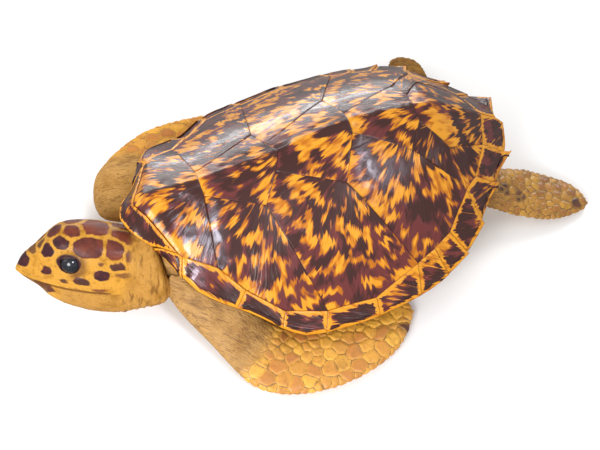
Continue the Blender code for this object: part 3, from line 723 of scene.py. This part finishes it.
def rim_growth(name):
    """A rim scute grows from its rear outer corner."""
    points = points_of(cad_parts[name].data)
    middle = points.mean(0)
    outward = middle[:2] / np.linalg.norm(middle[:2] * (1, 0.6))
    corner = points[np.argmax(points[:, :2] @ outward + 1.2 * points[:, 1])]
    return tuple(corner[:2] + 0.12 * (corner[:2] - middle[:2]))


# ---- Scales ----

def scatter(points, spacing, rng):
    """Pick points that keep a local distance from each other; spacing holds each point's own distance."""
    order = list(range(len(points)))
    rng.shuffle(order)
    grid = {}
    chosen = []
    cells = np.floor(points / spacing.max()).astype(int).tolist()
    for index in order:
        p, reach, (i, j, k) = points[index], spacing[index], cells[index]
        near = (q for a in (-1, 0, 1) for b in (-1, 0, 1) for c in (-1, 0, 1)
                for q in grid.get((i + a, j + b, k + c), ()))
        if all((p[0] - q[0]) ** 2 + (p[1] - q[1]) ** 2 + (p[2] - q[2]) ** 2 > (0.5 * (reach + r)) ** 2
               for q, r in near):
            grid.setdefault((i, j, k), []).append((p, reach))
            chosen.append(index)
    return chosen


def tree_of(points):
    tree = KDTree(len(points))
    for number, point in enumerate(points):
        tree.insert(point, number)
    tree.balance()
    return tree


def scale_map(points, seeds):
    """Each point's distance to its scale's border, and the number of its scale.

    seeds holds (place, radius); larger scales take more room.
    """
    tree = tree_of([place for place, _ in seeds])
    edges, owners = np.empty(len(points)), np.empty(len(points), int)
    for k, point in enumerate(points):
        found = sorted((distance * distance - seeds[i][1] ** 2, i)
                       for _, i, distance in tree.find_n(point, 7))
        (first, own), (second, other) = found[0], found[1]
        gap = (Vector(seeds[own][0]) - Vector(seeds[other][0])).length
        edges[k] = (second - first) / (2 * max(gap, 1e-5))
        owners[k] = own
    return edges, owners


def line_distance(points, line):
    """Distance in plan from each point to a line through the given places."""
    line = np.array(line, float)
    best = np.full(len(points), 1e9)
    for a, b, length in zip(line, line[1:], np.linalg.norm(np.diff(line, axis=0), axis=1)):
        t = np.clip(((points[:, :2] - a) @ (b - a)) / length ** 2, 0, 1)
        best = np.minimum(best, np.linalg.norm(points[:, :2] - a - t[:, None] * (b - a), axis=1))
    return best


# ---- The head's forms, read in its own frame ----

def in_head(points):
    return (points - np.array(HEAD_PLACE)) @ HEAD_TURN


def join_neck(mesh):
    """Open the two faces that meet between head and neck, and join their edges into one skin."""
    meeting = np.abs(in_head(points_of(mesh))[:, 1] - MEETING_LINE) < MEETING_REACH
    caps = [all(meeting[v] for v in face.vertices) for face in mesh.polygons]
    mesh.polygons.foreach_set("select", caps)
    edit((bpy.ops.mesh.delete, {"type": "ONLY_FACE"}),
         (bpy.ops.mesh.select_mode, {"type": "EDGE"}), (bpy.ops.mesh.select_all, {"action": "DESELECT"}),
         (bpy.ops.mesh.select_non_manifold, {"use_wire": True, "use_non_contiguous": False,
                                             "use_multi_face": False, "use_verts": False}),
         (bpy.ops.mesh.bridge_edge_loops, {}))


def head_scales(local):
    """How deep each point lies inside a scale, and that scale's darkness and redness."""
    tree = tree_of(local)
    best, second = np.full((2, len(local)), 9.0)
    owner = np.zeros(len(local), int)
    sizes, tones = [], []
    shaken = local + 0.0011 * np.stack([noise_at(local, 0.006, k) for k in (1, 2, 3)], 1)
    for place, half_length, half_width, dark, red in HEAD_SCALES:
        for side in (1,) if abs(place[0]) < 0.55 * half_width else (1, -1):
            away = shaken - np.array(tree.find((side * place[0], place[1], place[2]))[0])
            along = np.abs(away[:, 1]) / half_length
            across = np.hypot(away[:, 0], away[:, 2]) / half_width
            roomy = 1.25 + 0.15 * (place[2] > 0.044)      # the crown's scales take more room
            reach = along ** SCALE_ROUNDNESS + across ** SCALE_ROUNDNESS
            reach = np.power(reach, 1 / SCALE_ROUNDNESS) / roomy
            closer = reach < best
            second = np.where(closer, best, np.minimum(second, reach))
            best = np.where(closer, reach, best)
            owner[closer] = len(sizes)
            sizes.append(min(half_length, half_width))
            tones.append((dark, red))
    size = np.array(sizes)[owner]
    edges = np.minimum((1 - best) * size, (second - best) * 0.5 * size - 0.0010)
    return edges, *np.array(tones)[owner].T


def above_mouth(local):
    return local[:, 2] - np.interp(local[:, 1], *np.array(MOUTH_LINE).T)


def lower_jaw(local):
    return smooth_step(-above_mouth(local), -0.0004, 0.0012) * smooth_step(local[:, 1], 0.004, -0.012)


def mouth_relief(local):
    """The slit of the mouth and the set-back lower jaw."""
    above = above_mouth(local)
    ahead = smooth_step(local[:, 1], -0.014, -0.022)
    slit = -0.0030 * np.exp(-(above / 0.0011) ** 2) * ahead
    front = smooth_step(local[:, 1], -0.084, -0.090)
    lower = -(0.0006 + 0.0024 * front) * smooth_step(-above, 0.0, 0.0012) * smooth_step(-above, 0.024, 0.012)
    return slit + lower * ahead


def eye_surround(local):
    """Rounded lids with a crease behind them, and how dark the skin is beside the eye: painted shade along
    the lids, darkest and widest above, and the skin's own darker tone behind the eye.
    """
    away = [local - np.array((side * EYE_PLACE.x, EYE_PLACE.y, EYE_PLACE.z)) for side in (1, -1)]
    near = np.where(local[:, :1] > 0, *away) * (1, 0.86, 1.0)
    distance = np.linalg.norm(near, axis=1) - EYE_RADIUS
    upper = smooth_step(near[:, 2], -0.004, 0.006)
    lids = (0.0006 + 0.0012 * upper) * np.exp(-((distance - 0.0012) / 0.0018) ** 2)
    rear = smooth_step(near[:, 1], -0.006, 0.006)
    crease = -0.0006 * np.exp(-((distance - 0.0050) / 0.0016) ** 2) * rear * (1 - upper)
    # Painted shade round the eye, reaching further under the upper lid.
    dark = smooth_step(distance, 0.0004 + 0.0026 * upper, 0.0001 + 0.0012 * upper)
    return lids + crease, np.maximum(dark, 0.62 * rear * smooth_step(distance, 0.0095, 0.002))


# ---- Pieces ----

class TURTLE_OT_materials(bpy.types.Operator):
    """Make the node groups that the finishes share"""
    bl_idname = "turtle.materials"
    bl_label = "Shared finishes"

    def execute(self, context):
        tortoiseshell_group()
        scaly_skin_group()
        return {"FINISHED"}


class TURTLE_OT_large_scutes(bpy.types.Operator):
    """Dress the middle and side scutes of the shell"""
    bl_idname = "turtle.large_scutes"
    bl_label = "Middle and side scutes"

    def execute(self, context):
        shell = context.scene.shell_settings
        horn = horn_material("Varnished tortoiseshell", 0.52, 0.0118, 0.0095, 0.0)
        for k, growth in enumerate(VERTEBRAL_GROWTH):
            dress_scute(f"vertebral_scute_{k + 1}", at(*growth), 11 + k, horn, "shell_scutes", shell.border)
        for side, label in ((1, "left"), (-1, "right")):
            for k, (across, along) in enumerate(COSTAL_GROWTH):
                setback = RIGHT_SETBACK[k] if side < 0 else 0.0
                dress_scute(f"costal_scute_{label}_{k + 1}", at(across, along + setback, side),
                            21 + k + 7 * (side < 0), horn, "shell_scutes", shell.border)
        return {"FINISHED"}


class TURTLE_OT_rim_scutes(bpy.types.Operator):
    """Dress the scutes of the rim and the one over the neck"""
    bl_idname = "turtle.rim_scutes"
    bl_label = "Rim scutes"

    def execute(self, context):
        shell = context.scene.shell_settings
        horn = horn_material("Varnished rim horn", 0.76, 0.0125, 0.006, 1.0)
        dress_scute("nuchal_scute", at(0, 0.060), 41, horn, "rim_scutes", shell.rim_border * 0.8)
        for side, label in ((1, "left"), (-1, "right")):
            for number in range(1, 12):
                name = f"marginal_scute_{label}_{number}"
                dress_scute(name, rim_growth(name), 50 + number + 20 * (side < 0), horn, "rim_scutes",
                            shell.rim_border * (0.6 if number == 1 else 1))
            name = f"supracaudal_scute_{label}"
            dress_scute(name, rim_growth(name), 90 + (side < 0), horn, "rim_scutes", shell.rim_border)
        return {"FINISHED"}


class TURTLE_OT_belly_plate(bpy.types.Operator):
    """Dress the pale horny plate under the belly"""
    bl_idname = "turtle.belly_plate"
    bl_label = "Belly plate"

    def execute(self, context):
        material, g, shader = principled("Pale belly horn", (0.70, 0.50, 0.22), 0.38, coat=0.5,
                                         coat_roughness=0.1)
        place = g.place()
        x, y = g.part(place, 0), g.part(place, 1)
        grain = g.noise(g.join(x * 60.0, y * 12.0, 0.0), 1.0, 4.0, 0.6)
        wander = (g.noise(place, 30.0, 1.0) - 0.5) * 0.010
        rows = (((y + wander) / 0.058 + 0.5).math("FRACT") - 0.5).math("ABSOLUTE")
        middle = (x + wander * 0.3).math("ABSOLUTE")
        seam = g.step(rows, 0.030, 0.008).math("MAXIMUM", g.step(middle, 0.0016, 0.0005))
        horn = g.blend(g.step(grain, 0.35, 0.72), (0.78, 0.58, 0.28, 1), (0.52, 0.30, 0.11, 1))
        g.feed(shader.inputs["Base Color"], g.blend(seam, horn, (0.16, 0.08, 0.03, 1)))
        bump(g, shader, grain * 0.2 - seam, 0.0006, 0.7)
        obj = copy_of("plastron_horn", "plastron")
        apply_modifier(obj, "BEVEL", width=0.0012, segments=3, limit_method="ANGLE")
        edit((bpy.ops.mesh.subdivide, {"number_cuts": 5}), whole=True)
        finish_piece(obj, material, "belly_horn", "plastron")
        bpy.ops.object.shade_smooth_by_angle(angle=math.radians(30))
        return {"FINISHED"}


class TURTLE_OT_body(bpy.types.Operator):
    """Dress the dried skin of the body and the tail"""
    bl_idname = "turtle.body"
    bl_label = "Body and tail"

    def execute(self, context):
        skin = context.scene.skin_settings
        material = skin_material("Dried body skin", 0.50, 0.25, 0.4,
                                 (skin.limb, skin.border, skin.dark, skin.red), softness=0.001)
        for node, grain, smoothing in (("body", skin.body_grain, 4), ("tail", skin.limb_grain, 3)):
            obj = copy_of(node + "_skin", node)
            skin_mesh(obj, grain, smoothing, rounded=node == "tail")
            mesh = obj.data
            points, normals = points_of(mesh), normals_of(mesh)
            folds = noise_at(points * (1, 1, 2.2), 0.012, 3) + 0.5 * noise_at(points, 0.005, 5)
            move_points(mesh, points + normals * (BODY_FOLDS * folds - BODY_SINK)[:, None])
            # The folds' heights also give painted shade in their creases.
            keep_marks(mesh, bare=1.0, crease=folds)
            finish_piece(obj, material, "skin", node)
        return {"FINISHED"}


class TURTLE_OT_head(bpy.types.Operator):
    """Dress the head, with its scales and beak, and the wrinkled neck that it grows from"""
    bl_idname = "turtle.head"
    bl_label = "Head and neck"

    def execute(self, context):
        skin = context.scene.skin_settings
        obj = copy_of("head_and_neck", "neck", "head")
        join_neck(obj.data)
        skin_mesh(obj, skin.head_grain, 6)
        mesh = obj.data
        points, normals = points_of(mesh), normals_of(mesh)
        local = in_head(points)
        edges, darkness, redness = head_scales(local)
        neck = smooth_step(local[:, 1] + 0.25 * np.maximum(0.018 - local[:, 2], 0), -0.004, 0.010)
        jaw = lower_jaw(local)
        beak = jaw * smooth_step(local[:, 1], -0.066, -0.076)
        bare = np.maximum(neck, jaw - beak)
        height = HEAD_SCALE_RELIEF * smooth_step(edges, -0.0004, 0.0012) * (1 - bare)
        mouth, (lids, lid_shade_and_tone) = mouth_relief(local), eye_surround(local)
        loose = noise_at(local * (1.0, 2.6, 0.5), 0.011, 9)
        loose += 0.7 * noise_at(local * (1.2, 3.0, 0.7), 0.0045, 12)
        throat = noise_at(local * (1.6, 0.6, 1.6), 0.006, 31)
        wrinkles = loose * neck + 0.6 * throat * (jaw - beak) * (1 - neck)
        height += mouth + lids + (0.0007 + 0.0004 * neck) * wrinkles
        move_points(mesh, points + normals * height[:, None])
        # The ring round the eye is darkened: painted shade under the lids, and the skin's own darker tone
        # behind the eye.
        darkness = np.maximum(np.where((edges > 0) | (lid_shade_and_tone < 0.05), darkness, 0), lid_shade_and_tone)
        edges = np.where(lid_shade_and_tone > 0.05, 0.002, edges)
        # Painted shade in the mouth's slit and in the creases of neck and throat, carried by the crease mark.
        slit = smooth_step(mouth, -0.0005, -0.0013)
        keep_marks(mesh, edge=edges, darkness=darkness, redness=redness * (1 - lid_shade_and_tone), bare=bare,
                   crease=np.minimum(wrinkles * 0.9, -slit))
        material = skin_material("Varnished head scales", 0.30, 0.06, 0.10,
                                 (skin.neck, skin.border, skin.dark, skin.red))
        finish_piece(obj, material, "head_skin", "head", "neck")
        return {"FINISHED"}


class TURTLE_OT_eyes(bpy.types.Operator):
    """Make the two glass eyes"""
    bl_idname = "turtle.eyes"
    bl_label = "Glass eyes"

    def execute(self, context):
        glass = principled("Black eye glass", (0.006, 0.007, 0.011), 0.16, coat=0.3, coat_roughness=0.10)[0]
        for label in ("left", "right"):
            low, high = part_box(f"eye_{label}")
            bpy.ops.object.select_all(action="DESELECT")
            bpy.ops.mesh.primitive_uv_sphere_add(segments=48, ring_count=24, location=(low + high) / 2,
                                                 radius=(high.z - low.z) / 2 * 0.99)
            obj = bpy.context.object
            obj.name = f"eye_{label}_glass"
            bpy.ops.object.transform_apply(location=True, rotation=True, scale=True)
            finish_piece(obj, glass, "eye_glass", f"eye_{label}")
        return {"FINISHED"}


class TURTLE_OT_lids(bpy.types.Operator):
    """Make the upper lids, darkened with their own tone and with painted shade, and the thin lower lids,
    round the glass eyes
    """
    bl_idname = "turtle.lids"
    bl_label = "Eyelids"

    def execute(self, context):
        skin = context.scene.skin_settings
        material = skin_material("Dried eyelid", 0.45, 0.1, 0.3,
                                 (skin.neck, skin.border, skin.dark, skin.red))
        for side, label in ((1, "left"), (-1, "right")):
            bpy.ops.object.select_all(action="DESELECT")
            bpy.ops.mesh.primitive_uv_sphere_add(segments=72, ring_count=36, radius=EYE_RADIUS + 0.0002)
            obj = bpy.context.object
            obj.name = f"eyelids_{label}"
            mesh = obj.data
            # The sphere's poles go to the corners of the eye, so that its meridians are the lids' edges.
            points = points_of(mesh)[:, (0, 2, 1)] * (1, 1, -1)
            angle = np.degrees(np.arctan2(points[:, 2], side * points[:, 0]))
            gone = [all(LID_EDGES[0] < angle[v] < LID_EDGES[1] for v in face.vertices) or
                    not any(-90 < angle[v] < 90 for v in face.vertices) for face in mesh.polygons]
            points = (points + (side * EYE_PLACE.x, EYE_PLACE.y, EYE_PLACE.z)) @ HEAD_TURN.T
            move_points(mesh, points + np.array(HEAD_PLACE))
            mesh.polygons.foreach_set("select", gone)
            edit((bpy.ops.mesh.delete, {"type": "FACE"}))
            apply_modifier(obj, "SOLIDIFY", thickness=LID_THICKNESS, offset=1.0)
            # The upper lid is darker: its own dark tone, with painted shade over it.
            upper = smooth_step(in_head(points_of(mesh))[:, 2] - EYE_PLACE.z, 0.0, 0.004)
            keep_marks(mesh, edge=0.002, darkness=0.3 + 0.7 * upper, redness=0.05)
            finish_piece(obj, material, "head_skin")
        return {"FINISHED"}


class TURTLE_OT_flippers(bpy.types.Operator):
    """Dress the four flippers: wrinkled arms, and blades with rows of raised scales"""
    bl_idname = "turtle.flippers"
    bl_label = "Flippers"

    def execute(self, context):
        skin = context.scene.skin_settings
        for number, (name, form) in enumerate(FLIPPERS.items()):
            whole, blade = form["tone"], form["tone"] * form["blade"]
            colors = [tuple(factor * c for c in color) for factor, color in (
                (whole, skin.limb), (blade, skin.blade), (whole, skin.dark), (blade, skin.rust))]
            roughness, coat, shine = (0.46, 0.20, 0.4) if "left" in name else (0.62, 0.0, 0.08)
            material = skin_material(f"Varnished scales of {name}", roughness, coat, shine, colors,
                                     softness=0.0030, outline=0.85, folds=form["folds"], wrinkled=0.65)
            obj = copy_of(name + "_skin", name)
            skin_mesh(obj, skin.limb_grain, 4)
            self.dress(obj.data, form, number)
            finish_piece(obj, material, "flipper_skin", name)
        return {"FINISHED"}

    @staticmethod
    def dress(mesh, form, number):
        rng = random.Random(40 + number)
        points, normals = points_of(mesh), normals_of(mesh)
        edge_distance = line_distance(points, form["lead"])
        from_arm = np.linalg.norm(points[:, :2] - np.array(form["arm"]), axis=1)
        bare = 1 - smooth_step(from_arm, form["bare"] * 0.85, form["bare"] * 1.15)
        size = form["scale"] * (0.75 + 0.4 * smooth_step(edge_distance, 0.045, 0.012)) * (1 - 0.72 * bare)
        size *= 1 - 0.45 * smooth_step(edge_distance, 0.007, 0.003)
        sample = list(range(0, len(points), 3))
        chosen = scatter(points[sample], size[sample], rng)
        seeds = [(points[sample[k]], rng.uniform(0.36, 0.50) * size[sample[k]]) for k in chosen]
        tones = np.array([(rng.choice((0.15, 0.35, 0.5, 0.75)), rng.uniform(0.65, 1.0)) for _ in seeds])
        facing_down = normals[[sample[k] for k in chosen], 2] < 0.2
        for place, dark, red in form["marks"]:
            away = [math.dist(seed[:2], place) for seed, _ in seeds] + 9 * facing_down
            tones[away <= max(away.min(), 0.006)] = dark, red
        edges, owners = scale_map(points, seeds)
        pillow = smooth_step(edges, 0.0, 0.0032)
        relief = FLIPPER_SCALE_RELIEF * pillow * (1 - 0.85 * bare)
        folds = 0.5 * folds_at(points, form["folds"], 0.014, 0.0030, 21 + number)
        folds += 0.6 * folds_at(points, form["folds"], 0.024, 0.0065, 27 + number)
        relief += FLIPPER_FOLDS * folds * (0.2 + 0.8 * bare)
        move_points(mesh, points + normals * (relief - FLIPPER_SINK)[:, None])
        # The folds' heights, kept as the crease mark, give painted shade in their grooves.
        keep_marks(mesh, edge=edges, darkness=tones[owners, 0] * (1 - 0.5 * bare), redness=tones[owners, 1],
                   bare=0.92 * bare, crease=folds * (0.35 + 0.65 * bare))


class TURTLE_OT_stage(bpy.types.Operator):
    """Set the white floor, the soft studio light and the camera"""
    bl_idname = "turtle.stage"
    bl_label = "Stage"

    def execute(self, context):
        scene, stage = context.scene, context.scene.stage_settings
        bpy.ops.object.select_all(action="DESELECT")
        bpy.ops.mesh.primitive_plane_add(size=stage.floor, location=(0, 0, -0.0002))
        floor = bpy.context.object
        floor.name = "floor"
        bpy.ops.object.transform_apply(location=True, rotation=True, scale=True)
        material, g, shader = principled("White floor", FLOOR_TONE[:3], 0.6)
        mirrored = g.add("ShaderNodeLightPath", output="Is Glossy Ray")
        g.feed(shader.inputs["Base Color"], g.blend(mirrored, FLOOR_TONE, MIRRORED_FLOOR_TONE))
        floor.data.materials.append(material)
        self.light("Side softbox", (1.9, -2.0, 1.7), 75, 1.6)
        self.light("Back softbox", (-1.9, 1.9, 1.7), 42, 1.6)
        self.light("Far side softbox", (-2.55, 0.47, 0.42), 18, 3.2, 0.5, target=(0, 0.05, 0.12))
        self.light("Front softbox", (-1.0, -2.3, 1.9), 15, 2.2)
        strip = self.light("Low strip", (-0.63, 0.12, 0.01), 5.5, 0.26, 0.75)
        strip.rotation_euler = math.pi, 0, 0
        strip.visible_diffuse = strip.visible_camera = False      # it is there for its sheen on the far slope
        spot = self.light("Front spot", (0.97, 0.12, 1.28), 145, 0.24, target=(0.060, -0.155, 0.105),
                          kind="SPOT")
        spot.data.color, spot.data.spot_size, spot.data.spot_blend = (0.87, 0.86, 1), math.radians(13), 1.0
        scene.world = bpy.data.worlds.new("Studio")
        scene.world.use_nodes = True
        sky = scene.world.node_tree.nodes["Background"].inputs
        sky["Color"].default_value, sky["Strength"].default_value = (1, 1, 1, 1), SKY_STRENGTH
        scene.view_settings.view_transform = "Standard"
        lens = bpy.data.cameras.new("Camera")
        lens.lens, lens.sensor_width, lens.clip_start = stage.lens, SENSOR_WIDTH, 0.05
        scene.camera = self.put("Camera", lens, CAMERA_PLACE, CAMERA_DIRECTION)
        return {"FINISHED"}

    def light(self, name, place, power, size, height=0, target=LOOKED_AT, kind="AREA"):
        """A round light, or an oval one where it has a height of its own."""
        data = bpy.data.lights.new(name, kind)
        data.energy = power
        if kind == "SPOT":
            data.shadow_soft_size = size
        else:
            data.shape, data.size, data.size_y = "ELLIPSE" if height else "DISK", size, height or size
        return self.put(name, data, place, Vector(target) - Vector(place))

    @staticmethod
    def put(name, data, place, direction):
        """Place a light or the camera, looking in a direction."""
        obj = bpy.data.objects.new(name, data)
        obj.location = place
        obj.rotation_euler = Vector(direction).to_track_quat("-Z", "Y").to_euler()
        bpy.context.scene.collection.objects.link(obj)
        return obj


OPERATORS = (TURTLE_OT_materials, TURTLE_OT_large_scutes, TURTLE_OT_rim_scutes, TURTLE_OT_belly_plate,
             TURTLE_OT_body, TURTLE_OT_head, TURTLE_OT_eyes, TURTLE_OT_lids, TURTLE_OT_flippers,
             TURTLE_OT_stage)


class TURTLE_PT_panel(bpy.types.Panel):
    """Lists the turtle's settings and its pieces"""
    bl_label = "Mounted turtle"
    bl_space_type = "VIEW_3D"
    bl_region_type = "UI"
    bl_category = "Turtle"

    def draw(self, context):
        scene = context.scene
        for settings in (scene.shell_settings, scene.skin_settings, scene.stage_settings):
            for name in settings.__annotations__:
                self.layout.prop(settings, name)
        for operator in OPERATORS:
            self.layout.operator(operator.bl_idname)


CLASSES = (ShellSettings, SkinSettings, StageSettings, *OPERATORS, TURTLE_PT_panel)


def register():
    for cls in CLASSES:
        bpy.utils.register_class(cls)
    bpy.types.Scene.shell_settings = PointerProperty(type=ShellSettings)
    bpy.types.Scene.skin_settings = PointerProperty(type=SkinSettings)
    bpy.types.Scene.stage_settings = PointerProperty(type=StageSettings)


def unregister():
    for name in ("shell_settings", "skin_settings", "stage_settings"):
        delattr(bpy.types.Scene, name)
    for cls in reversed(CLASSES):
        bpy.utils.unregister_class(cls)


def main():
    register()
    bpy.ops.turtle.materials()
    bpy.ops.turtle.large_scutes()
    bpy.ops.turtle.rim_scutes()
    bpy.ops.turtle.belly_plate()
    bpy.ops.turtle.body()
    bpy.ops.turtle.head()
    bpy.ops.turtle.eyes()
    bpy.ops.turtle.lids()
    bpy.ops.turtle.flippers()
    bpy.ops.turtle.stage()


if __name__ == "__main__":
    main()
